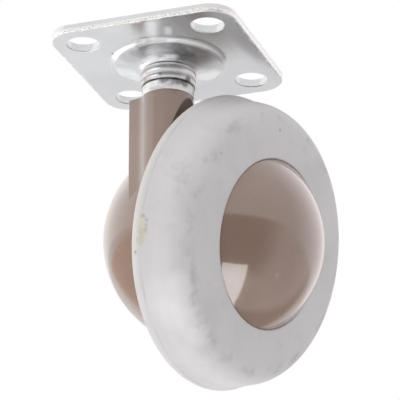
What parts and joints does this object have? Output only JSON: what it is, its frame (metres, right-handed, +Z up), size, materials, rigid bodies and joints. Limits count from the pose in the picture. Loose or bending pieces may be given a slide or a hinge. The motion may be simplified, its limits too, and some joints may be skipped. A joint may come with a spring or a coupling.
{
  "type": "swivel caster",
  "caption": "Plate-mounted swivel caster: square zinc-plated steel plate, enamelled horn with a half-ball hood, and a domed wheel on an inclined axle with a thick grey rubber tyre.",
  "frame": {"origin": "centre of the plate's top face, on the swivel axis", "axes": "+Z up along the swivel axis, out of the face that is screwed to the furniture; X and Y along the plate's edges"},
  "size_m": [0.0494, 0.0677, 0.0697],
  "materials": {
    "zinc_plated_steel": "bright zinc plating, pressed and slightly scuffed",
    "turned_steel": "turned steel, lightly oiled",
    "pale_steel": "pale bright steel",
    "spring_steel": "plain hardened steel",
    "enamelled_casting": "glossy brown-grey enamel on a zinc die casting",
    "bearing_bronze": "sintered bronze",
    "grey_rubber": "matte pale grey rubber, smudged"
  },
  "bodies": {
    "plate": {"top_plate": "zinc_plated_steel", "ridged_collar": "turned_steel", "kingpin": "turned_steel", "kingpin_ring": "spring_steel"},
    "swivel": {"horn_hood": "enamelled_casting", "swivel_bush": "pale_steel", "thrust_ball": "spring_steel", "axle": "turned_steel", "axle_washer": "spring_steel", "axle_ring": "spring_steel"},
    "wheel": {"wheel_dome": "enamelled_casting", "wheel_bush": "bearing_bronze", "tyre": "grey_rubber"}
  },
  "joints": [
    {"name": "swivel", "type": "hinge", "parent": "plate", "child": "swivel", "pos_m": [0, 0, -0.012], "axis": [0, 0, 1], "continuous": true},
    {"name": "wheel_spin", "type": "hinge", "parent": "swivel", "child": "wheel", "pos_m": [0.01893, 0.01341, -0.0415], "axis": [0.9402, -0.2414, -0.2402], "continuous": true}
  ]
}
